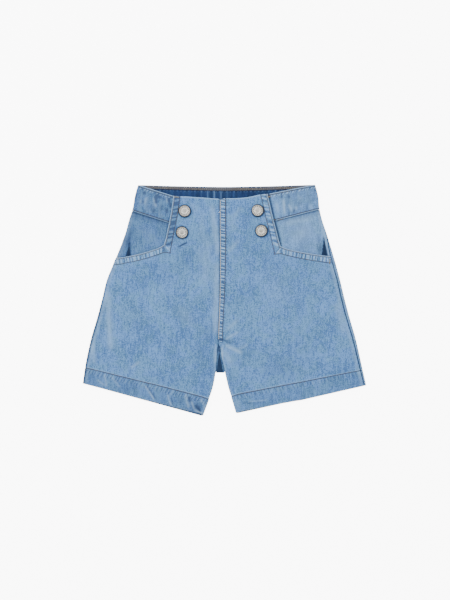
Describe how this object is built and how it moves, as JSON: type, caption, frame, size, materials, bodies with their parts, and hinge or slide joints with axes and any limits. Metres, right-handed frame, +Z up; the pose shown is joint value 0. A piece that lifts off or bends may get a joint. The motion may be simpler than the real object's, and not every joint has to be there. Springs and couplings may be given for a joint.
{
  "type": "children's denim shorts",
  "caption": "High-waisted children's denim shorts laid flat, with curved open pockets, metal shank buttons beside them, a gathered waistband at the back and turned hems.",
  "frame": {"origin": "middle of the outline seen from above, on the surface that the shorts lie on", "axes": "+X to the right seen from above, +Y from the hems towards the waist, +Z up from the surface"},
  "size_m": [0.4032, 0.3288, 0.0114],
  "materials": {
    "denim": "faded blue denim, soft and matt",
    "denim_inside": "dark blue denim, matt",
    "button_metal": "pale nickel, satin"
  },
  "bodies": {
    "root": {"front_panel_left": "denim", "front_panel_right": "denim", "hip_piece_left": "denim", "hip_piece_right": "denim", "back_panel_left": "denim", "back_panel_right": "denim", "waistband": "denim", "band_facing": "denim_inside", "button_left_upper": "button_metal", "button_left_lower": "button_metal", "button_right_upper": "button_metal", "button_right_lower": "button_metal"}
  },
  "joints": []
}
